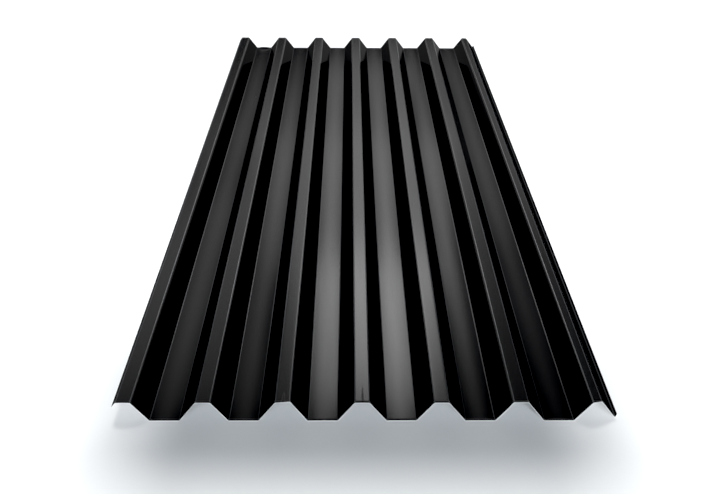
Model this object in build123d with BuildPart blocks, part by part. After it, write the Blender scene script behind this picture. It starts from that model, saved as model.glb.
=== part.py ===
"""Trapezoidal profiled steel sheet for roofs and walls, roll-formed from one strip of coil.

Seven narrow crests stand over six wide valleys. The crest on the left is the overlap: it ends in
a short lip turned down, and lies over the next sheet. The crest on the right is the underlap: it
is narrower, so that it nests inside the next sheet's overlap, and its outer web ends short of the
floor in a small lip turned up.

The sheet lies on its valleys. X runs across the ribs and Y along them, Z is up, and the origin is
the middle of the footprint, on the level that the valleys rest on.
"""

from build123d import *

import os

# Driving dimensions, in millimetres. Widths and depths are taken on the underside, between the
# corners where neighbouring flats would meet if the bends were sharp.
crest_count = 7
pitch = 125.0
profile_depth = 35.0
crest_width = 23.0
valley_width = 48.0
sheet_length = 2000.0
sheet_thickness = 0.5
bend_radius = 3.0  # on the inside of each bend

# The side laps, which keep the slope of the other webs. The underlap's outer web stands inside the
# web of the sheet that overlaps it, and its return lip reaches out to that web with a clearance.
overlap_lip_drop = 8.0
underlap_inset = 9.0
underlap_foot_height = 3.5
return_lip_rise = 8.0
return_lip_bend_radius = 1.5  # on the inside of the bend
lap_clearance = 0.6

# How far a web goes sideways from crest to valley, and for each millimetre that it drops.
web_run = (pitch - crest_width - valley_width) / 2
web_lean = web_run / profile_depth

underlap_crest_width = crest_width - underlap_inset
return_lip_run = underlap_inset - return_lip_rise * web_lean - lap_clearance

# On the underside a crest's bend is the inside of the fold, and a valley's bend is the outside.
crest_corner_radius = bend_radius
valley_corner_radius = bend_radius + sheet_thickness
return_lip_corner_radius = return_lip_bend_radius + sheet_thickness


def crest_corners(index):
    """The two upper corners of a crest, left and then right. Crest 0 is the overlap."""
    left = index * pitch - crest_width / 2
    width = underlap_crest_width if index == crest_count - 1 else crest_width
    return [(left, profile_depth), (left + width, profile_depth)]


def valley_corners(index):
    """The two lower corners of the valley to the right of a crest, left and then right."""
    left = index * pitch + crest_width / 2 + web_run
    return [(left, 0), (left + valley_width, 0)]


def overlap_lip_tip():
    """The free edge of the lip that turns down from the overlap crest."""
    crest_left, crest_level = crest_corners(0)[0]
    return (crest_left - overlap_lip_drop * web_lean, crest_level - overlap_lip_drop)


def underlap_foot():
    """The lower corner of the underlap's outer web, where the return lip turns up."""
    crest_right, crest_level = crest_corners(crest_count - 1)[1]
    web_drop = crest_level - underlap_foot_height
    return (crest_right + web_drop * web_lean, underlap_foot_height)


def return_lip_tip():
    """The free edge of the lip that turns up from the foot of the outer web."""
    foot_x, foot_level = underlap_foot()
    return (foot_x + return_lip_run, foot_level + return_lip_rise)


def underside():
    """The corners of the underside from the overlap to the underlap, and the radius of each."""
    corners = []
    radii = []
    for index in range(crest_count):
        corners += crest_corners(index)
        radii += [crest_corner_radius] * 2
        if index < crest_count - 1:
            corners += valley_corners(index)
            radii += [valley_corner_radius] * 2
    corners.append(underlap_foot())
    radii.append(return_lip_corner_radius)
    return [overlap_lip_tip(), *corners, return_lip_tip()], radii


# The section of the strip. Its top face follows the underside at one thickness, so that every
# bend keeps the strip's gauge.
with BuildSketch() as section:
    with BuildLine():
        corner_points, corner_radii = underside()
        underside_line = FilletPolyline(*corner_points, radius=corner_radii)
        offset(underside_line, amount=sheet_thickness, side=Side.LEFT, closed=True)
    make_face()

footprint_middle = section.sketch.bounding_box().center().X

# The section runs the whole length, cut square at both ends.
with BuildPart() as profiled_sheet:
    with BuildSketch(Plane.XZ):
        with Locations((-footprint_middle, 0)):
            add(section.sketch)
    extrude(amount=sheet_length / 2, both=True)

profiled_sheet.part.label = "profiled_sheet"

os.makedirs("parts", exist_ok=True)
export_step(profiled_sheet.part, "parts/profiled_sheet.step")
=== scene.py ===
"""A trapezoidal profiled steel sheet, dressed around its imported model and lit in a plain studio.

The sheet is one strip of coil-coated steel: black polyester on the weather face, a pale grey back
coat under it and bare galvanised steel on the cut ends. Lengths are in metres unless a name says
otherwise. X runs across the ribs, Y along them and Z is up.
"""

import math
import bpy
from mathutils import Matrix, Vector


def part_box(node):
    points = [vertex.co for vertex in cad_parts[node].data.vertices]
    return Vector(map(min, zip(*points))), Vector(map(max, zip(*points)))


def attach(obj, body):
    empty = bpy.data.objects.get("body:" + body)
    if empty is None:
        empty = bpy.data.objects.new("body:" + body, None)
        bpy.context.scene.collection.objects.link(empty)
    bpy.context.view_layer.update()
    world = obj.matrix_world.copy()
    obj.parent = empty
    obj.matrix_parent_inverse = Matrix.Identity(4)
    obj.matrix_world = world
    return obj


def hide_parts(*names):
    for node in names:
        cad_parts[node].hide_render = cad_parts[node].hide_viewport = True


bl_info = {
    "name": "Profiled steel sheet",
    "version": (1, 0, 0),
    "blender": (4, 5, 0),
    "location": "3D View > Sidebar > Profiled sheet",
    "description": "Rolls a trapezoidal steel sheet from its section and sets up the studio for it",
    "category": "Object",
}

import bpy
import numpy as np
from mathutils import Matrix

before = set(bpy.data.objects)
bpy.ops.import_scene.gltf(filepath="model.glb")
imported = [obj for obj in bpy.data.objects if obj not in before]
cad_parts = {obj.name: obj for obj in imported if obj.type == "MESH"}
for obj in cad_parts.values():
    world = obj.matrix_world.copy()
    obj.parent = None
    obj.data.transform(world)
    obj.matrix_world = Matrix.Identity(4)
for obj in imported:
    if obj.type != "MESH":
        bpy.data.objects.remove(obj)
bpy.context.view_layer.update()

NODE = "profiled_sheet"
FRAME_LOW, FRAME_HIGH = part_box(NODE)
MM = 0.001


def linear(hex_colour):
    """The linear RGBA of an sRGB hex colour such as "#c0c4c8"."""
    digits = hex_colour.lstrip("#")
    parts = [int(digits[i : i + 2], 16) / 255 for i in (0, 2, 4)]
    return (*(c / 12.92 if c <= 0.04045 else ((c + 0.055) / 1.055) ** 2.4 for c in parts), 1.0)


def add(tree, kind, inputs=(), **settings):
    """Adds a node with its settings. An input is a value, a socket, or a node for its first output."""
    node = tree.nodes.new(kind)
    for name, value in settings.items():
        setattr(node, name, value)
    pairs = inputs.items() if isinstance(inputs, dict) else enumerate(inputs)
    for key, value in pairs:
        source = value.outputs[0] if isinstance(value, bpy.types.Node) else value
        if isinstance(source, bpy.types.NodeSocket):
            tree.links.new(source, node.inputs[key])
        else:
            node.inputs[key].default_value = source
    return node


def length_property(name, description, default, **limits):
    """A length that Blender shows with its unit."""
    return bpy.props.FloatProperty(
        name=name, description=description, default=default, unit="LENGTH", subtype="DISTANCE",
        precision=4, **limits)


def colour_property(name, description, hex_colour):
    """A colour given as sRGB hex and kept linear."""
    return bpy.props.FloatVectorProperty(
        name=name, description=description, default=linear(hex_colour), size=4, subtype="COLOR",
        min=0, max=1)


def share_property(name, description, default):
    """A number from 0 to 1, such as a roughness."""
    return bpy.props.FloatProperty(
        name=name, description=description, default=default, min=0, max=1, subtype="FACTOR")


class SheetSizes(bpy.types.PropertyGroup):
    """The section of the sheet, on its underside and between sharp corners, and its length."""

    rib_count: bpy.props.IntProperty(
        name="Ribs", description="Number of crests, with the two side laps", default=7, min=3)
    pitch: length_property("Pitch", "From one crest to the next", 125 * MM)
    depth: length_property("Depth", "From valley to crest", 35 * MM)
    crest_width: length_property("Crest width", "Flat top of a rib", 23 * MM)
    valley_width: length_property("Valley width", "Flat between two ribs", 48 * MM)
    length: length_property("Length", "Along the ribs", FRAME_HIGH.y - FRAME_LOW.y)
    gauge: length_property("Gauge", "Thickness of the strip", 0.5 * MM)
    bend_radius: length_property("Bend radius", "Inside each bend", 3 * MM)
    overlap_lip_drop: length_property("Overlap lip drop", "Lip at the left side edge", 8 * MM)
    underlap_inset: length_property(
        "Underlap inset", "How much narrower the right crest is than the others", 9 * MM)
    underlap_foot_height: length_property(
        "Underlap foot height", "Lowest corner of the right web, above the floor", 3.5 * MM)
    return_lip_rise: length_property("Return lip rise", "Lip at the right side edge", 8 * MM)
    return_lip_bend: length_property("Return lip bend radius", "Inside the lip's bend", 1.5 * MM)
    lap_clearance: length_property(
        "Lap clearance", "From the return lip to the web of the next sheet", 0.6 * MM)
    bend_steps: bpy.props.IntProperty(
        name="Steps in a bend", description="Points round each bend", default=7, min=2)
    flat_step: length_property("Step across a flat", "Widest face across a flat", 5 * MM)
    rows: bpy.props.IntProperty(
        name="Rows", description="Faces along the sheet, closest at its ends", default=96, min=8)
    rollover: length_property(
        "Rollover", "How far the shear drew down the top of each cut end", 0.12 * MM)
    rollover_reach: length_property("Rollover reach", "How far in from the cut", 2 * MM)


class SheetFinish(bpy.types.PropertyGroup):
    """Colours and gloss of the three surfaces of the strip."""

    top_colour: colour_property("Top coat", "Black weather face", "#121213")
    top_roughness: share_property("Top coat roughness", "Satin gloss of the black coat", 0.2)
    # Painted shade: this lowers the coat's gloss on the webs and in the corners of the valleys, so these
    # recesses look dark.
    film: share_property("Film", "How much oil and dust mute the coat on the webs", 0.495)
    # Painted highlight: a lighter colour on each bend stands in for the light that the rounded bends
    # reflect.
    bend_colour: colour_property("Bend lines", "Coat that was stretched round the bends", "#404041")
    back_colour: colour_property("Back coat", "Pale grey underside", "#8d9193")
    back_roughness: share_property("Back coat roughness", "Dull gloss of the back coat", 0.5)
    zinc_colour: colour_property("Cut edge", "Bare galvanised steel", "#c8cbce")
    zinc_roughness: share_property("Cut edge roughness", "Sheared steel", 0.5)


class StudioSettings(bpy.types.PropertyGroup):
    """The floor and the camera."""

    floor_colour: colour_property("Floor", "Plain white floor", "#f2f2f2")
    floor_size: length_property("Floor size", "Side of the square floor", 40.0)
    lens: bpy.props.FloatProperty(
        name="Lens", description="Focal length on a 36 mm sensor", default=47.413,
        subtype="DISTANCE_CAMERA")
    eye: bpy.props.FloatVectorProperty(
        name="Eye", description="Where the camera stands", default=(-0.0262, -2.1860, 0.9610),
        subtype="TRANSLATION", unit="LENGTH", precision=4)
    tilt: bpy.props.FloatProperty(
        name="Tilt", description="How far the camera looks down", default=math.radians(28.636),
        subtype="ANGLE")
    pan: bpy.props.FloatProperty(
        name="Pan", description="How far the camera turns right of the ribs",
        default=math.radians(0.741), subtype="ANGLE")
    roll: bpy.props.FloatProperty(
        name="Roll", description="How far the camera leans to the left",
        default=math.radians(0.428), subtype="ANGLE")


def web_lean(sizes):
    """How far a web goes sideways for each metre that it drops."""
    return (sizes.pitch - sizes.crest_width - sizes.valley_width) / 2 / sizes.depth


def first_crest(sizes):
    """How far across the middle of the overlap's crest is."""
    lean = web_lean(sizes)
    lip_run = sizes.overlap_lip_drop * lean + sizes.gauge / math.hypot(1, lean)
    return FRAME_LOW.x + lip_run + sizes.crest_width / 2


# Dull marks on the top coat, in millimetres: how far across and along each is, how far it
# spreads across and along, and what share of the gloss it takes, which makes the coat darker there.
MARKS = {
    "dull_streak_at_middle_rib": (-4.8, -1000, 2.6, 52, 0.4),
    "dull_streak_at_third_rib": (-129.3, -999, 3.2, 32, 0.6),
    "dull_patch_at_far_dent": (-316, 1004, 34, 48, 1.0),
    "speck_at_far_end": (-305.7, 954, 4.5, 11, 1.0),
    "speck_in_first_valley": (-303.6, 500, 2.5, 6, 0.4),
}

# The coat loses its gloss this far in from each cut end: painted shade for the dark line that the shear's
# rolled-over edge shows there.
NEAR_END_SHADE = 6 * MM
FAR_END_SHADE = 14 * MM

# Marks and the painted shade at the cut ends are even over this share of their reach, and fade beyond.
# Where all the gloss is gone, the coat is this much rougher.
MARK_CORE = 0.4
DULLED_ROUGHNESS = 0.5

# The coat's specular level where no painted shade lowers it. Its stipple makes that uneven by this share
# either way. The real stipple is about 1 mm wide, and is drawn coarser so that it shows.
UNSHADED_GLOSS = 0.5
STIPPLE = 0.1
STIPPLE_WIDTH = 3 * MM

# The rolls left faint streaks, which change the roughness by this much either way and are this
# many times as long as they are wide. They burnished the webs, which are this much smoother.
STREAKS = 0.02
STREAK_WIDTH = 12 * MM
STREAK_RATIO = 20
BURNISH = 0.1

# The painted shade is full on a web and reaches this share of that at the edge of a valley. The bend
# between them is this share of half a valley to either side. Below a crest it grows over this share of
# the depth.
VALLEY_SHADE = 0.57
BEND_REACH = 0.03
SHADE_START = 0.1

# How much of the painted bend highlight the lowest bends show. The highest show all of it.
LOW_BEND_HIGHLIGHT_SHARE = 0.6

# The back coat's streaks: how wide they are, how many times as long, and the darkest and lightest
# shade of its colour.
BACK_STREAK_WIDTH = 7 * MM
BACK_STREAK_RATIO = 25
BACK_SHADES = (0.86, 1.1)

# The shear's marks on the cut edge: how wide they are, and how much they change its roughness.
SHEAR_MARK_WIDTH = 1.5 * MM
SHEAR_MARKS = 0.1


def gloss_left(tree, place):
    """The share of the gloss that the marks and the painted shade at the cut ends leave: 1 away from them
    all.
    """
    way_along = add(tree, "ShaderNodeSeparateXYZ", [place]).outputs["Y"]
    # Painted shade: the gloss fades out towards both cut ends, so they look darker.
    near = add(tree, "ShaderNodeMapRange", {
        "Value": way_along, "From Min": FRAME_LOW.y + NEAR_END_SHADE * MARK_CORE,
        "From Max": FRAME_LOW.y + NEAR_END_SHADE})
    far = add(tree, "ShaderNodeMapRange", {
        "Value": way_along, "From Min": FRAME_HIGH.y - FAR_END_SHADE,
        "From Max": FRAME_HIGH.y - FAR_END_SHADE * MARK_CORE, "To Min": 1.0, "To Max": 0.0})
    left = add(tree, "ShaderNodeMath", [near, far], operation="MULTIPLY")
    for across, along, half_width, half_length, taken in MARKS.values():
        away = add(tree, "ShaderNodeVectorMath", [place, (across * MM, along * MM, 0)],
                   operation="SUBTRACT")
        spread = (1 / (half_width * MM), 1 / (half_length * MM), 0)
        away = add(tree, "ShaderNodeVectorMath", [away, spread], operation="MULTIPLY")
        reach = add(tree, "ShaderNodeVectorMath", [away], operation="LENGTH").outputs["Value"]
        share = add(tree, "ShaderNodeMapRange", {
            "Value": reach, "From Min": MARK_CORE, "To Min": 1 - taken},
            interpolation_type="SMOOTHSTEP")
        left = add(tree, "ShaderNodeMath", [left, share], operation="MULTIPLY")
    return left


def film_cover(tree, across, sizes):
    """How much painted shade lowers the coat's gloss: all of it on the webs, and none on a crest or amid
    a valley.
    """
    first_valley = first_crest(sizes) + sizes.pitch / 2
    from_middle = add(tree, "ShaderNodeMath", [across.outputs["X"], first_valley],
                      operation="SUBTRACT")
    from_middle = add(tree, "ShaderNodeMath", [from_middle, -sizes.pitch / 2, sizes.pitch / 2],
                      operation="WRAP")
    share = add(tree, "ShaderNodeMath", [from_middle, sizes.valley_width / 2], operation="DIVIDE")
    share = add(tree, "ShaderNodeMath", [share], operation="ABSOLUTE")
    valley = add(tree, "ShaderNodeMapRange", {"Value": share, "To Max": VALLEY_SHADE},
                 interpolation_type="SMOOTHSTEP")
    web = add(tree, "ShaderNodeMapRange", {
        "Value": share, "From Min": 1 - BEND_REACH, "From Max": 1 + BEND_REACH,
        "To Max": 1 - VALLEY_SHADE})
    corner = add(tree, "ShaderNodeMath", [valley, web], operation="ADD")
    low = add(tree, "ShaderNodeMapRange", {
        "Value": across.outputs["Z"], "From Min": sizes.depth * (1 - SHADE_START),
        "From Max": sizes.depth, "To Min": 1.0, "To Max": 0.0})
    return add(tree, "ShaderNodeMath", [corner, low], operation="MULTIPLY")


def top_coat(sizes, finish):
    """Black polyester coil coating, baked on flat strip before it was rolled: satin and even.

    The eye sees almost no colour of its own, only blurred reflections with a fine stipple. Painted
    shade lowers the gloss on the webs and in the corners of the valleys, so these recesses look dark.
    Each bend has a lighter line painted into the coat's colour, fullest on the crests: a painted
    highlight.
    """
    material = bpy.data.materials.new("black_polyester_coil_coating")
    material.use_nodes = True
    tree = material.node_tree
    shader = tree.nodes["Principled BSDF"]
    shader.inputs["IOR"].default_value = 1.5
    place = add(tree, "ShaderNodeTexCoord").outputs["Object"]
    across = add(tree, "ShaderNodeSeparateXYZ", [place])
    # Painted shade: the specular level drops on the webs and in the valleys' corners, darkening these
    # recesses.
    film = film_cover(tree, across, sizes)
    level = add(tree, "ShaderNodeMath", [film, -finish.film, UNSHADED_GLOSS], operation="MULTIPLY_ADD")
    stipple = add(tree, "ShaderNodeTexNoise", {"Vector": place, "Scale": 1 / STIPPLE_WIDTH,
                                               "Detail": 1.0})
    uneven = add(tree, "ShaderNodeMapRange", {"Value": stipple, "To Min": 1 - STIPPLE,
                                              "To Max": 1 + STIPPLE})
    level = add(tree, "ShaderNodeMath", [level, uneven], operation="MULTIPLY")
    gloss = gloss_left(tree, place)
    level = add(tree, "ShaderNodeMath", [level, gloss], operation="MULTIPLY")
    tree.links.new(level.outputs[0], shader.inputs["Specular IOR Level"])
    streaks = add(tree, "ShaderNodeMapping", {"Vector": place, "Scale": (1, 1 / STREAK_RATIO, 1)})
    rolled = add(tree, "ShaderNodeTexNoise", {"Vector": streaks, "Scale": 1 / STREAK_WIDTH,
                                              "Detail": 2.0})
    rough = add(tree, "ShaderNodeMapRange", {
        "Value": rolled, "To Min": finish.top_roughness - STREAKS,
        "To Max": finish.top_roughness + STREAKS})
    rough = add(tree, "ShaderNodeMath", [film, -BURNISH, rough], operation="MULTIPLY_ADD")
    dulled = add(tree, "ShaderNodeMath", [1.0, gloss], operation="SUBTRACT")
    rough = add(tree, "ShaderNodeMath", [dulled, DULLED_ROUGHNESS, rough], operation="MULTIPLY_ADD")
    tree.links.new(rough.outputs[0], shader.inputs["Roughness"])
    # Painted highlight: each bend gets a lighter base colour, fullest on the crests, in place of the
    # light its curve reflects.
    highlight_by_height = add(tree, "ShaderNodeMapRange", {"Value": across.outputs["Z"], "From Max": sizes.depth,
                                               "To Min": LOW_BEND_HIGHLIGHT_SHARE})
    bend = add(tree, "ShaderNodeAttribute", attribute_name="bend").outputs["Fac"]
    bend = add(tree, "ShaderNodeMath", [bend, highlight_by_height], operation="MULTIPLY")
    colour = add(tree, "ShaderNodeMix", {0: bend, 6: finish.top_colour, 7: finish.bend_colour},
                 data_type="RGBA")
    tree.links.new(colour.outputs[2], shader.inputs["Base Color"])
    return material


def back_coat(finish):
    """Grey epoxy back coat: thin, dull and slightly uneven, so the underside looks like primer."""
    material = bpy.data.materials.new("grey_epoxy_back_coat")
    material.use_nodes = True
    tree = material.node_tree
    shader = tree.nodes["Principled BSDF"]
    shader.inputs["Roughness"].default_value = finish.back_roughness
    place = add(tree, "ShaderNodeTexCoord").outputs["Object"]
    streaks = add(tree, "ShaderNodeMapping", {
        "Vector": place, "Scale": (1, 1 / BACK_STREAK_RATIO, 1)})
    thin = add(tree, "ShaderNodeTexNoise", {"Vector": streaks, "Scale": 1 / BACK_STREAK_WIDTH,
                                            "Detail": 4.0})
    darkest, lightest = BACK_SHADES
    shade = add(tree, "ShaderNodeMapRange", {"Value": thin, "To Min": darkest, "To Max": lightest})
    colour = add(tree, "ShaderNodeVectorMath", {0: finish.back_colour[:3], "Scale": shade.outputs[0]},
                 operation="SCALE")
    tree.links.new(colour.outputs["Vector"], shader.inputs["Base Color"])
    return material


def cut_edge(finish):
    """Galvanised steel where the shear cut it: bare grey metal with fine marks across the gauge."""
    material = bpy.data.materials.new("sheared_galvanised_edge")
    material.use_nodes = True
    tree = material.node_tree
    shader = tree.nodes["Principled BSDF"]
    shader.inputs["Metallic"].default_value = 1.0
    shader.inputs["Base Color"].default_value = finish.zinc_colour
    place = add(tree, "ShaderNodeTexCoord").outputs["Object"]
    marks = add(tree, "ShaderNodeTexNoise", {"Vector": place, "Scale": 1 / SHEAR_MARK_WIDTH,
                                             "Detail": 2.0})
    rough = add(tree, "ShaderNodeMapRange", {
        "Value": marks, "To Min": finish.zinc_roughness - SHEAR_MARKS,
        "To Max": finish.zinc_roughness + SHEAR_MARKS})
    tree.links.new(rough.outputs["Result"], shader.inputs["Roughness"])
    return material


# A rib and the valley after it have this many corners.
RIB_CORNERS = 4.0

# A span of the section is in a bend where it is under this share of the widest step across a flat.
BEND_SPAN = 0.25

# Points this near are one, and the strip's edge is crisp where faces meet at more than this angle.
WELD = 0.01 * MM
RIM_ANGLE = math.radians(50)


def rolled_sheet_tree(sizes, materials):
    """The node tree that bends the strip's section, runs it along the sheet and gives it its gauge."""
    tree = bpy.data.node_groups.new("rolled_sheet", "GeometryNodeTree")
    tree.interface.new_socket(name="Geometry", in_out="OUTPUT", socket_type="NodeSocketGeometry")
    for name, value in {**sizes, **materials}.items():
        kind = "NodeSocketFloat"
        if isinstance(value, int):
            kind = "NodeSocketInt"
        elif isinstance(value, bpy.types.Material):
            kind = "NodeSocketMaterial"
        tree.interface.new_socket(name=name, in_out="INPUT", socket_type=kind)
    given = tree.nodes.new("NodeGroupInput").outputs
    corners, bends = section_corners(tree, given)
    rounded = add(tree, "GeometryNodeFilletCurve", {
        "Curve": corners, "Count": given["Steps in a bend"], "Radius": bends}, mode="POLY")
    section = split_flats(tree, rounded, given["Step across a flat"])
    underside = swept(tree, section, given)
    shell = with_gauge(tree, underside, given)
    tree.links.new(shell.outputs[0], tree.nodes.new("NodeGroupOutput").inputs["Geometry"])
    return tree


def section_corners(tree, given):
    """The sharp corners of the underside, and the radius of the bend at each.

    Corner 0 is the free edge of the overlap lip. Each rib then has four: the ends of its crest and
    of the valley after it. The last three are the underlap's crest, its foot and its return lip.
    The section is drawn in XY with its height down, because the sweep turns it upright.
    """
    index = add(tree, "GeometryNodeInputIndex")
    step = add(tree, "ShaderNodeMath", [index, 1.0], operation="SUBTRACT")
    place = add(tree, "ShaderNodeMath", [step, RIB_CORNERS], operation="FLOORED_MODULO")
    last = add(tree, "ShaderNodeMath", [given["Ribs"], RIB_CORNERS], operation="MULTIPLY")
    from_end = add(tree, "ShaderNodeMath", [last, index], operation="SUBTRACT")
    lines = section_lines(tree, given)
    corner = rib_corner(tree, given, lines, step, place)
    corner = underlap_corner(tree, given, lines, from_end, corner)
    is_first = add(tree, "FunctionNodeCompare", {"A": index, "B": 0.5}, operation="LESS_THAN")
    corner = add(tree, "GeometryNodeSwitch", {
        "Switch": is_first, "False": corner, "True": overlap_tip(tree, given, lines)},
        input_type="VECTOR")
    count = add(tree, "ShaderNodeMath", [last, 1.0], operation="ADD")
    line = add(tree, "GeometryNodeResampleCurve", {
        "Curve": add(tree, "GeometryNodeCurvePrimitiveLine"), "Count": count}, mode="COUNT")
    points = add(tree, "GeometryNodeSetPosition", {"Geometry": line, "Position": corner})
    return points, bend_radius(tree, given, place, from_end)


def section_lines(tree, given):
    """How far across and down the corners of a rib are, and how far a web leans for its drop."""
    spare = add(tree, "ShaderNodeMath", [given["Pitch"], given["Crest width"]], operation="SUBTRACT")
    spare = add(tree, "ShaderNodeMath", [spare, given["Valley width"]], operation="SUBTRACT")
    web_run = add(tree, "ShaderNodeMath", [spare, 0.5], operation="MULTIPLY")
    crest_half = add(tree, "ShaderNodeMath", [given["Crest width"], 0.5], operation="MULTIPLY")
    valley_left = add(tree, "ShaderNodeMath", [crest_half, web_run], operation="ADD")
    return {
        "lean": add(tree, "ShaderNodeMath", [web_run, given["Depth"]], operation="DIVIDE"),
        "crest_level": add(tree, "ShaderNodeMath", [given["Depth"], -1.0], operation="MULTIPLY"),
        "crest_left": add(tree, "ShaderNodeMath", [crest_half, -1.0], operation="MULTIPLY"),
        "crest_right": crest_half,
        "valley_left": valley_left,
        "valley_right": add(tree, "ShaderNodeMath", [valley_left, given["Valley width"]],
                            operation="ADD"),
    }


def picked(tree, number, corners):
    """The corner that the number picks from the list."""
    switch = add(tree, "GeometryNodeIndexSwitch", data_type="VECTOR")
    for _ in corners[2:]:
        switch.index_switch_items.new()
    tree.links.new(number.outputs[0], switch.inputs["Index"])
    for slot, corner in enumerate(corners):
        tree.links.new(corner.outputs[0], switch.inputs[str(slot)])
    return switch


def rib_corner(tree, given, lines, step, place):
    """The corner at that step along the ribs, and at that place in its own rib."""
    corners = [
        (lines["crest_left"], lines["crest_level"]),
        (lines["crest_right"], lines["crest_level"]),
        (lines["valley_left"], 0.0),
        (lines["valley_right"], 0.0),
    ]
    in_rib = picked(tree, place, [
        add(tree, "ShaderNodeCombineXYZ", {"X": x, "Y": y}) for x, y in corners])
    rib = add(tree, "ShaderNodeMath", [step, RIB_CORNERS], operation="DIVIDE")
    rib = add(tree, "ShaderNodeMath", [rib], operation="FLOOR")
    across = add(tree, "ShaderNodeMath", [rib, given["Pitch"]], operation="MULTIPLY")
    return add(tree, "ShaderNodeVectorMath", [
        in_rib, add(tree, "ShaderNodeCombineXYZ", {"X": across})], operation="ADD")


def underlap_corner(tree, given, lines, from_end, rib):
    """The underlap's own corner for the last three, and the rib's for the others."""
    ribs_before = add(tree, "ShaderNodeMath", [given["Ribs"], 1.0], operation="SUBTRACT")
    last_rib = add(tree, "ShaderNodeMath", [ribs_before, given["Pitch"]], operation="MULTIPLY")
    crest_x = add(tree, "ShaderNodeMath", [last_rib, lines["crest_right"]], operation="ADD")
    crest_x = add(tree, "ShaderNodeMath", [crest_x, given["Underlap inset"]], operation="SUBTRACT")
    web_drop = add(tree, "ShaderNodeMath", [given["Depth"], given["Underlap foot height"]],
                   operation="SUBTRACT")
    foot_x = add(tree, "ShaderNodeMath", [web_drop, lines["lean"], crest_x],
                 operation="MULTIPLY_ADD")
    foot_y = add(tree, "ShaderNodeMath", [given["Underlap foot height"], -1.0],
                 operation="MULTIPLY")
    lip_back = add(tree, "ShaderNodeMath", [
        given["Return lip rise"], lines["lean"], given["Lap clearance"]], operation="MULTIPLY_ADD")
    lip_run = add(tree, "ShaderNodeMath", [given["Underlap inset"], lip_back], operation="SUBTRACT")
    lip_x = add(tree, "ShaderNodeMath", [foot_x, lip_run], operation="ADD")
    lip_y = add(tree, "ShaderNodeMath", [foot_y, given["Return lip rise"]], operation="SUBTRACT")
    own = [add(tree, "ShaderNodeCombineXYZ", {"X": x, "Y": y}) for x, y in [
        (lip_x, lip_y), (foot_x, foot_y), (crest_x, lines["crest_level"])]]
    number = add(tree, "ShaderNodeMath", [from_end, float(len(own))], operation="MINIMUM")
    return picked(tree, number, [*own, rib])


def overlap_tip(tree, given, lines):
    """The free edge of the lip that turns down from the overlap's crest."""
    run = add(tree, "ShaderNodeMath", [given["Overlap lip drop"], lines["lean"]],
              operation="MULTIPLY")
    return add(tree, "ShaderNodeCombineXYZ", {
        "X": add(tree, "ShaderNodeMath", [lines["crest_left"], run], operation="SUBTRACT"),
        "Y": add(tree, "ShaderNodeMath", [lines["crest_level"], given["Overlap lip drop"]],
                 operation="ADD")})


def bend_radius(tree, given, place, from_end):
    """The radius on the underside, which is inside a crest's bend and outside all the others."""
    outside = add(tree, "ShaderNodeMath", [given["Bend radius"], given["Gauge"]], operation="ADD")
    is_valley = add(tree, "FunctionNodeCompare", {"A": place, "B": 1.5}, operation="GREATER_THAN")
    radius = add(tree, "GeometryNodeSwitch", {"Switch": is_valley, "False": given["Bend radius"],
                                              "True": outside}, input_type="FLOAT")
    lip_radius = add(tree, "ShaderNodeMath", [given["Return lip bend radius"], given["Gauge"]],
                     operation="ADD")
    is_foot = add(tree, "FunctionNodeCompare", {"A": from_end, "B": 1.5}, operation="LESS_THAN")
    return add(tree, "GeometryNodeSwitch", {"Switch": is_foot, "False": radius,
                                            "True": lip_radius}, input_type="FLOAT")


def split_flats(tree, curve, widest):
    """Points across each flat, so that no face is wider than that.

    The points inside a bend, with short spans on both sides, are marked for the coat.
    """
    reached = add(tree, "GeometryNodeSplineParameter").outputs["Length"]
    index = add(tree, "GeometryNodeInputIndex")
    after = add(tree, "ShaderNodeMath", [index, 1.0], operation="ADD")
    next_reached = add(tree, "GeometryNodeFieldAtIndex", {"Value": reached, "Index": after},
                       domain="POINT", data_type="FLOAT")
    span = add(tree, "ShaderNodeMath", [next_reached, reached], operation="SUBTRACT")
    cuts = add(tree, "ShaderNodeMath", [
        add(tree, "ShaderNodeMath", [span, widest], operation="DIVIDE")], operation="FLOOR")
    cuts = add(tree, "ShaderNodeMath", [cuts, 0.0], operation="MAXIMUM")
    before = add(tree, "ShaderNodeMath", [index, 1.0], operation="SUBTRACT")
    last_reached = add(tree, "GeometryNodeFieldAtIndex", {"Value": reached, "Index": before},
                       domain="POINT", data_type="FLOAT")
    last_span = add(tree, "ShaderNodeMath", [reached, last_reached], operation="SUBTRACT")
    wider = add(tree, "ShaderNodeMath", [span, last_span], operation="MAXIMUM")
    limit = add(tree, "ShaderNodeMath", [widest, BEND_SPAN], operation="MULTIPLY")
    in_bend = add(tree, "ShaderNodeMath", [wider, limit], operation="LESS_THAN")
    marked = add(tree, "GeometryNodeStoreNamedAttribute", {"Geometry": curve, "Name": "bend",
                                                           "Value": in_bend},
                 domain="POINT", data_type="FLOAT")
    return add(tree, "GeometryNodeSubdivideCurve", {"Curve": marked, "Cuts": cuts})


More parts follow.
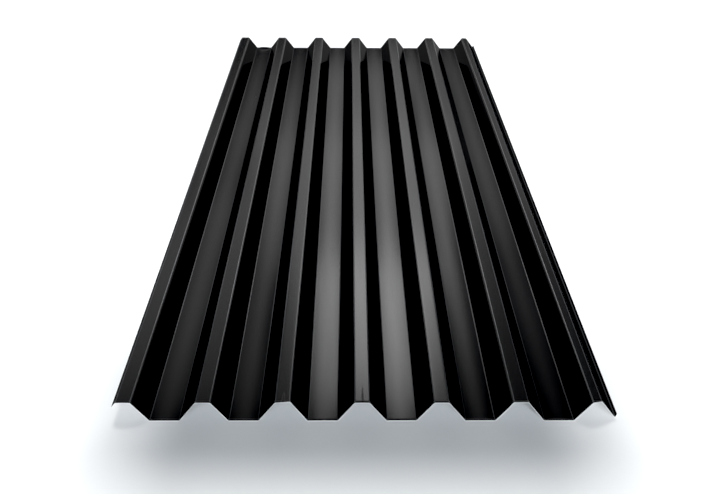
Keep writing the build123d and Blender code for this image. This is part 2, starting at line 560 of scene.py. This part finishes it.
def swept(tree, section, given):
    """The underside: the section run along the sheet, in rows that are closest at both ends."""
    half_length = add(tree, "ShaderNodeMath", [given["Length"], 0.5], operation="MULTIPLY")
    near = add(tree, "ShaderNodeMath", [half_length, -1.0], operation="MULTIPLY")
    rail = add(tree, "GeometryNodeCurvePrimitiveLine", {
        "Start": add(tree, "ShaderNodeCombineXYZ", {"Y": near}),
        "End": add(tree, "ShaderNodeCombineXYZ", {"Y": half_length})})
    count = add(tree, "ShaderNodeMath", [given["Rows"], 1.0], operation="ADD")
    rail = add(tree, "GeometryNodeResampleCurve", {"Curve": rail, "Count": count}, mode="COUNT")
    along = add(tree, "ShaderNodeSeparateXYZ", [add(tree, "GeometryNodeInputPosition")]).outputs["Y"]
    turn = add(tree, "ShaderNodeMath", [
        add(tree, "ShaderNodeMath", [along, given["Length"]], operation="DIVIDE"), math.pi],
        operation="MULTIPLY")
    eased = add(tree, "ShaderNodeMath", [
        add(tree, "ShaderNodeMath", [turn], operation="SINE"), half_length], operation="MULTIPLY")
    rail = add(tree, "GeometryNodeSetPosition", {
        "Geometry": rail, "Position": add(tree, "ShaderNodeCombineXYZ", {"Y": eased})})
    return add(tree, "GeometryNodeCurveToMesh", {"Curve": rail, "Profile Curve": section})


def with_gauge(tree, underside, given):
    """The closed strip: its top face stands one gauge off the underside, and its rim joins them.

    The shear drew the top face down a little at both cut ends.
    """
    along = add(tree, "ShaderNodeSeparateXYZ", [add(tree, "GeometryNodeInputPosition")]).outputs["Y"]
    end = add(tree, "ShaderNodeMath", [given["Length"], 0.5], operation="MULTIPLY")
    inner = add(tree, "ShaderNodeMath", [end, given["Rollover reach"]], operation="SUBTRACT")
    share = add(tree, "ShaderNodeMapRange", {
        "Value": add(tree, "ShaderNodeMath", [along], operation="ABSOLUTE"),
        "From Min": inner, "From Max": end})
    drop = add(tree, "ShaderNodeMath", [share, share], operation="MULTIPLY")
    drop = add(tree, "ShaderNodeMath", [drop, given["Rollover"]], operation="MULTIPLY")
    gauge = add(tree, "ShaderNodeMath", [given["Gauge"], drop], operation="SUBTRACT")
    raised = add(tree, "GeometryNodeExtrudeMesh", {
        "Mesh": underside, "Offset Scale": gauge, "Individual": False}, mode="FACES")
    joined = add(tree, "GeometryNodeJoinGeometry")
    for part in (raised, add(tree, "GeometryNodeFlipFaces", {"Mesh": underside})):
        tree.links.new(part.outputs[0], joined.inputs[0])
    welded = add(tree, "GeometryNodeMergeByDistance", {"Geometry": joined, "Distance": WELD})
    box = add(tree, "GeometryNodeBoundBox", {"Geometry": welded})
    middle = add(tree, "ShaderNodeVectorMath", [box.outputs["Min"], box.outputs["Max"]],
                 operation="ADD")
    middle = add(tree, "ShaderNodeVectorMath", {0: middle, "Scale": -0.5}, operation="SCALE")
    middle_x = add(tree, "ShaderNodeSeparateXYZ", [middle]).outputs["X"]
    centred = add(tree, "GeometryNodeTransform", {
        "Geometry": welded, "Translation": add(tree, "ShaderNodeCombineXYZ", {"X": middle_x})})
    smooth = add(tree, "GeometryNodeSetShadeSmooth", {"Geometry": centred, "Shade Smooth": True},
                 domain="FACE")
    angle = add(tree, "GeometryNodeInputMeshEdgeAngle").outputs["Unsigned Angle"]
    is_rim = add(tree, "FunctionNodeCompare", {"A": angle, "B": RIM_ANGLE},
                 operation="GREATER_THAN")
    crisp = add(tree, "GeometryNodeSetShadeSmooth", {
        "Geometry": smooth, "Selection": is_rim, "Shade Smooth": False}, domain="EDGE")
    plain = add(tree, "GeometryNodeRealizeInstances", {"Geometry": crisp})
    back = add(tree, "GeometryNodeSetMaterial", {"Geometry": plain, "Material": given["Back coat"]})
    top = add(tree, "GeometryNodeSetMaterial", {
        "Geometry": back, "Selection": raised.outputs["Top"], "Material": given["Top coat"]})
    return add(tree, "GeometryNodeSetMaterial", {
        "Geometry": top, "Selection": raised.outputs["Side"], "Material": given["Cut edge"]})


def made_by_nodes(name, tree, values):
    """A plain mesh object with what the tree makes of those values."""
    maker = bpy.data.objects.new(name, bpy.data.meshes.new(name))
    bpy.context.scene.collection.objects.link(maker)
    modifier = maker.modifiers.new("rolling", "NODES")
    modifier.node_group = tree
    for item in tree.interface.items_tree:
        if item.in_out == "INPUT":
            modifier[item.identifier] = values[item.name]
    keep_as_mesh(maker)
    return maker


def keep_as_mesh(maker):
    """Turns what the object's modifiers make into its own plain mesh."""
    evaluated = maker.evaluated_get(bpy.context.evaluated_depsgraph_get())
    mesh = bpy.data.meshes.new_from_object(evaluated)
    maker.modifiers.clear()
    maker.data = mesh
    mesh.name = maker.name


# The near cut isn't quite straight, because a few ribs sprang under the shear: how far across, and
# how far in from the nominal end the cut lies there, in millimetres.
NEAR_CUT = [
    (-142, 0), (-119, 2.8), (-95, 0), (-67, 0), (-64, 0.9), (-61, 0), (226, 0), (233, 1.2),
    (256, 1.2), (263, 0), (358, 0), (372, 3), (398, 2),
]
NEAR_CUT_REACH = 40 * MM

# The far end of the first valley was knocked upwards: how far across the middle of the dent is, its
# half width, how far in it reaches and how high it stands.
FAR_DENT = {"across": -318 * MM, "half_width": 25 * MM, "reach": 50 * MM, "height": 2.2 * MM}


def bell(share):
    """Falls smoothly from 1 at 0 to 0 at 1 and beyond."""
    return np.clip(1 - share * share, 0, None) ** 2


def handle_ends(mesh, half_length):
    """Leaves the marks of the shear and of handling on the cut ends."""
    points = np.empty(len(mesh.vertices) * 3)
    mesh.vertices.foreach_get("co", points)
    points = points.reshape(-1, 3)
    short = np.interp(points[:, 0] / MM, *zip(*NEAR_CUT)) * MM
    points[:, 1] += short * bell(np.clip((points[:, 1] + half_length) / NEAR_CUT_REACH, 0, 1))
    sideways = bell((points[:, 0] - FAR_DENT["across"]) / FAR_DENT["half_width"])
    inwards = bell(np.clip((half_length - points[:, 1]) / FAR_DENT["reach"], 0, 1))
    points[:, 2] += FAR_DENT["height"] * sideways * inwards
    mesh.vertices.foreach_set("co", points.ravel())
    mesh.update()


def keep_flats_flat(piece):
    """Shades each flat by its own faces alone, so that only the bends look curved."""
    weighted = piece.modifiers.new("flats", "WEIGHTED_NORMAL")
    weighted.keep_sharp = True
    weighted.weight = 100
    keep_as_mesh(piece)


class SHEET_OT_roll(bpy.types.Operator):
    """Roll the profiled sheet from its section and coat it"""

    bl_idname = "profiled_sheet.roll"
    bl_label = "Profiled sheet"

    def execute(self, context):
        sizes = context.scene.sheet_sizes
        finish = context.scene.sheet_finish
        values = {
            "Ribs": sizes.rib_count,
            "Pitch": sizes.pitch,
            "Depth": sizes.depth,
            "Crest width": sizes.crest_width,
            "Valley width": sizes.valley_width,
            "Length": sizes.length,
            "Gauge": sizes.gauge,
            "Bend radius": sizes.bend_radius,
            "Overlap lip drop": sizes.overlap_lip_drop,
            "Underlap inset": sizes.underlap_inset,
            "Underlap foot height": sizes.underlap_foot_height,
            "Return lip rise": sizes.return_lip_rise,
            "Return lip bend radius": sizes.return_lip_bend,
            "Lap clearance": sizes.lap_clearance,
            "Steps in a bend": sizes.bend_steps,
            "Step across a flat": sizes.flat_step,
            "Rows": sizes.rows,
            "Rollover": sizes.rollover,
            "Rollover reach": sizes.rollover_reach,
        }
        materials = {
            "Top coat": top_coat(sizes, finish),
            "Back coat": back_coat(finish),
            "Cut edge": cut_edge(finish),
        }
        tree = rolled_sheet_tree(values, materials)
        sheet = made_by_nodes("coated_profiled_sheet", tree, {**values, **materials})
        if not sheet.data.polygons:
            raise RuntimeError("the section made no faces")
        handle_ends(sheet.data, sizes.length / 2)
        keep_flats_flat(sheet)
        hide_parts(NODE)
        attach(sheet, "root")
        return {"FINISHED"}


# The softboxes hang upright behind the far end, where the coat mirrors them to the camera: how far
# right each centre is, how high, its width, its height and its brightness.
SOFTBOXES = {
    "key": (0.13, 2.22, 0.73, 1.01, 3.7),
    "key_halo": (0.0, 1.37, 1.07, 0.84, 0.76),
    "key_waist": (0.06, 1.17, 0.5, 1.28, 0.44),
    "key_foot": (-0.04, 0.78, 1.02, 0.51, 0.16),
    "left_fill": (-1.24, 2.07, 1.39, 1.39, 0.51),
    "left_waist": (-0.71, 1.18, 0.3, 0.59, 0.32),
    "left_foot": (-0.41, 0.85, 0.51, 0.32, 0.19),
    "right_fill": (1.1, 1.91, 1.2, 1.97, 0.15),
    "right_foot": (0.82, 1.06, 0.95, 1.06, 0.27),
}

# How far along the first softbox hangs, and how far behind it each next one does, because two in
# one plane would hide each other's light.
SOFTBOX_PLACE = 2.5
SOFTBOX_STEP = 10 * MM

# The lamps on the floor: how far round from behind the far end each is, how high and how wide in
# degrees, how much light it gives the floor, and its colour.
FLOOR_LIGHTS = {
    "floor_key": (0, 60, 18, 1.2, "#ffffff"),
    "floor_wash": (0, 60, 18, 1.76, "#ffffff"),
    "floor_fill": (180, 27, 30, 1.36, "#f0f8ff"),
}

# The two cards: left, right, near and far edges, and height.
FLAG = (-0.39, 0.377, -0.835, -0.42, 0.59)
BLACK_CARD = (FRAME_HIGH.x + 5 * MM, 2.0, -1.2, FRAME_HIGH.y + 0.2, 0.2 * MM)

# How bright the room looks in the coat: its walls, its ceiling, the floor near the camera, and the
# floor past the far end, on the right, on the left and on the left towards the horizon.
WALL_LEVEL = 1.0
CEILING_LEVEL = 3.0
NEAR_FLOOR_LEVEL = 2.4
FAR_RIGHT_FLOOR_LEVEL = 0.42
FAR_LEFT_FLOOR_LEVEL = 0.07
FAR_LEFT_HORIZON_LEVEL = 0.6

# Where one level gives way to the next: each pair is how far a direction points along the ribs, up
# or to the right, as a share of its length.
WALLS_TO_DARK_ALONG = (0.3, 0.6)
NEAR_TO_FAR_ALONG = (-0.2, 0.2)
WALLS_TO_CEILING_UP = (0.3, 0.95)
FLOOR_TO_WALLS_UP = (0.03, 0.1)
FLOOR_TO_HORIZON_UP = (-0.05, 0.04)
LEFT_TO_RIGHT = (-0.35, 0.35)


def softbox(name, centre, width, height, radiance):
    """An upright rectangular lamp that faces the near end, with that radiance over its face."""
    lamp = bpy.data.lights.new(name, "AREA")
    lamp.shape = "RECTANGLE"
    lamp.size = width
    lamp.size_y = height
    lamp.energy = radiance * width * height * math.pi
    holder = bpy.data.objects.new(name, lamp)
    holder.location = centre
    holder.rotation_euler = (math.radians(-90), 0, 0)
    bpy.context.scene.collection.objects.link(holder)


def studio_room():
    """The room round the stage: white to the eye and no light on the floor.

    The coat mirrors it. It is dark over the far end, where the softboxes hang, and pale at the sides
    and behind the camera. Below the horizon stands the floor, which is brighter near the camera.
    """
    room = bpy.data.worlds.new("studio_room")
    room.use_nodes = True
    tree = room.node_tree
    way = add(tree, "ShaderNodeSeparateXYZ", [add(tree, "ShaderNodeTexCoord").outputs["Generated"]])
    start, end = WALLS_TO_DARK_ALONG
    walls = add(tree, "ShaderNodeMapRange", {
        "Value": way.outputs["Y"], "From Min": start, "From Max": end, "To Min": 1.0, "To Max": 0.0},
        interpolation_type="SMOOTHSTEP")
    start, end = WALLS_TO_CEILING_UP
    ceiling = add(tree, "ShaderNodeMapRange", {
        "Value": way.outputs["Z"], "From Min": start, "From Max": end, "To Min": WALL_LEVEL,
        "To Max": CEILING_LEVEL}, interpolation_type="SMOOTHSTEP")
    above = add(tree, "ShaderNodeMath", [walls, ceiling], operation="MULTIPLY")
    start, end = FLOOR_TO_HORIZON_UP
    left = add(tree, "ShaderNodeMapRange", {
        "Value": way.outputs["Z"], "From Min": start, "From Max": end,
        "To Min": FAR_LEFT_FLOOR_LEVEL, "To Max": FAR_LEFT_HORIZON_LEVEL})
    start, end = LEFT_TO_RIGHT
    beyond = add(tree, "ShaderNodeMapRange", {
        "Value": way.outputs["X"], "From Min": start, "From Max": end, "To Min": left,
        "To Max": FAR_RIGHT_FLOOR_LEVEL})
    start, end = NEAR_TO_FAR_ALONG
    below = add(tree, "ShaderNodeMapRange", {
        "Value": way.outputs["Y"], "From Min": start, "From Max": end, "To Min": NEAR_FLOOR_LEVEL,
        "To Max": beyond})
    start, end = FLOOR_TO_WALLS_UP
    side = add(tree, "ShaderNodeMapRange", {"Value": way.outputs["Z"], "From Min": start,
                                            "From Max": end})
    seen = add(tree, "ShaderNodeMix", {"Factor": side, "A": below, "B": above}, data_type="FLOAT")
    path = add(tree, "ShaderNodeLightPath")
    mirrored = add(tree, "ShaderNodeMath", [seen, path.outputs["Is Glossy Ray"]],
                   operation="MULTIPLY")
    level = add(tree, "ShaderNodeMath", [mirrored, path.outputs["Is Camera Ray"]],
                operation="MAXIMUM")
    tree.links.new(level.outputs[0], tree.nodes["Background"].inputs["Color"])
    return room


def floor_light(name, azimuth, elevation, spread, irradiance, hex_colour):
    """A far lamp that lights the floor and isn't seen in the coat. Angles are in degrees."""
    lamp = bpy.data.lights.new(name, "SUN")
    lamp.angle = math.radians(spread)
    lamp.energy = irradiance / math.sin(math.radians(elevation))
    lamp.color = linear(hex_colour)[:3]
    holder = bpy.data.objects.new(name, lamp)
    holder.rotation_euler = (math.radians(elevation - 90), 0, math.radians(-azimuth))
    holder.visible_glossy = False
    bpy.context.scene.collection.objects.link(holder)
    return holder


def shaded_only_by(lamp, blocker):
    """Lets the lamp through everything but that card."""
    blockers = bpy.data.collections.new(lamp.name + "_blockers")
    blockers.objects.link(blocker)
    lamp.light_linking.blocker_collection = blockers


def level_face(name, left, right, near, far, height):
    """A level rectangle of the stage."""
    mesh = bpy.data.meshes.new(name)
    corners = [(left, near, height), (right, near, height), (right, far, height),
               (left, far, height)]
    mesh.from_pydata(corners, [], [(0, 1, 2, 3)])
    face = bpy.data.objects.new(name, mesh)
    bpy.context.scene.collection.objects.link(face)
    return face


def matt_paint(name, colour):
    """A paint with no gloss at all."""
    paint = bpy.data.materials.new(name)
    paint.use_nodes = True
    shader = paint.node_tree.nodes["Principled BSDF"]
    shader.inputs["Base Color"].default_value = colour
    shader.inputs["Roughness"].default_value = 1.0
    shader.inputs["Specular IOR Level"].default_value = 0.0
    return paint


def floor(studio):
    """A plain white floor under the sheet. The coat doesn't mirror it."""
    half = studio.floor_size / 2
    ground = level_face("floor", -half, half, -half, half, 0)
    ground.data.materials.append(matt_paint("matt_white_floor_paint", studio.floor_colour))
    ground.visible_glossy = False


def flag():
    """A card over the near end that shades the floor in front of it and isn't seen."""
    shade = level_face("flag", *FLAG)
    shade.visible_camera = False
    shade.visible_diffuse = False
    shade.visible_glossy = False
    return shade


def black_card():
    """A card beside the right lap, which mirrors it in place of the pale floor. Only the coat sees it."""
    black = level_face("black_card", *BLACK_CARD)
    black.data.materials.append(matt_paint("black_velvet", linear("#050505")))
    black.visible_camera = False
    black.visible_diffuse = False
    black.visible_shadow = False


class STUDIO_OT_stage(bpy.types.Operator):
    """Lay the floor, hang the lights and place the camera"""

    bl_idname = "profiled_sheet.stage"
    bl_label = "Studio"

    def execute(self, context):
        studio = context.scene.studio_settings
        scene = context.scene
        scene.view_settings.view_transform = "Standard"
        scene.view_settings.use_curve_mapping = True
        scene.view_settings.curve_mapping.black_level = (0.01, 0.01, 0.01)
        scene.view_settings.curve_mapping.update()
        floor(studio)
        scene.world = studio_room()
        for layer, (name, box) in enumerate(SOFTBOXES.items()):
            across, up, width, height, radiance = box
            along = SOFTBOX_PLACE + SOFTBOX_STEP * layer
            softbox(name, (across, along, up), width, height, radiance)
        lamps = {name: floor_light(name, *light) for name, light in FLOOR_LIGHTS.items()}
        shaded_only_by(lamps["floor_wash"], flag())
        black_card()
        lens = bpy.data.cameras.new("camera")
        lens.sensor_width = 36
        lens.lens = studio.lens
        camera = bpy.data.objects.new("camera", lens)
        turn = Matrix.Rotation(-studio.pan, 4, "Z")
        tilt = Matrix.Rotation(math.pi / 2 - studio.tilt, 4, "X")
        roll = Matrix.Rotation(studio.roll, 4, "Z")
        camera.matrix_world = Matrix.Translation(studio.eye) @ turn @ tilt @ roll
        scene.collection.objects.link(camera)
        scene.camera = camera
        return {"FINISHED"}


class SHEET_PT_panel(bpy.types.Panel):
    """Sizes, finish and studio of the profiled sheet"""

    bl_idname = "SHEET_PT_panel"
    bl_label = "Profiled sheet"
    bl_space_type = "VIEW_3D"
    bl_region_type = "UI"
    bl_category = "Profiled sheet"

    def draw(self, context):
        scene = context.scene
        groups = [
            (scene.sheet_sizes, SHEET_OT_roll),
            (scene.sheet_finish, None),
            (scene.studio_settings, STUDIO_OT_stage),
        ]
        for group, operator in groups:
            box = self.layout.box()
            for name in group.__annotations__:
                box.prop(group, name)
            if operator:
                box.operator(operator.bl_idname)


PROPERTY_GROUPS = {
    "sheet_sizes": SheetSizes,
    "sheet_finish": SheetFinish,
    "studio_settings": StudioSettings,
}
CLASSES = (*PROPERTY_GROUPS.values(), SHEET_OT_roll, STUDIO_OT_stage, SHEET_PT_panel)


def register():
    for cls in CLASSES:
        bpy.utils.register_class(cls)
    for name, group in PROPERTY_GROUPS.items():
        setattr(bpy.types.Scene, name, bpy.props.PointerProperty(type=group))


def unregister():
    for name in PROPERTY_GROUPS:
        delattr(bpy.types.Scene, name)
    for cls in reversed(CLASSES):
        bpy.utils.unregister_class(cls)


def main():
    register()
    bpy.ops.profiled_sheet.roll()
    bpy.ops.profiled_sheet.stage()


if __name__ == "__main__":
    main()
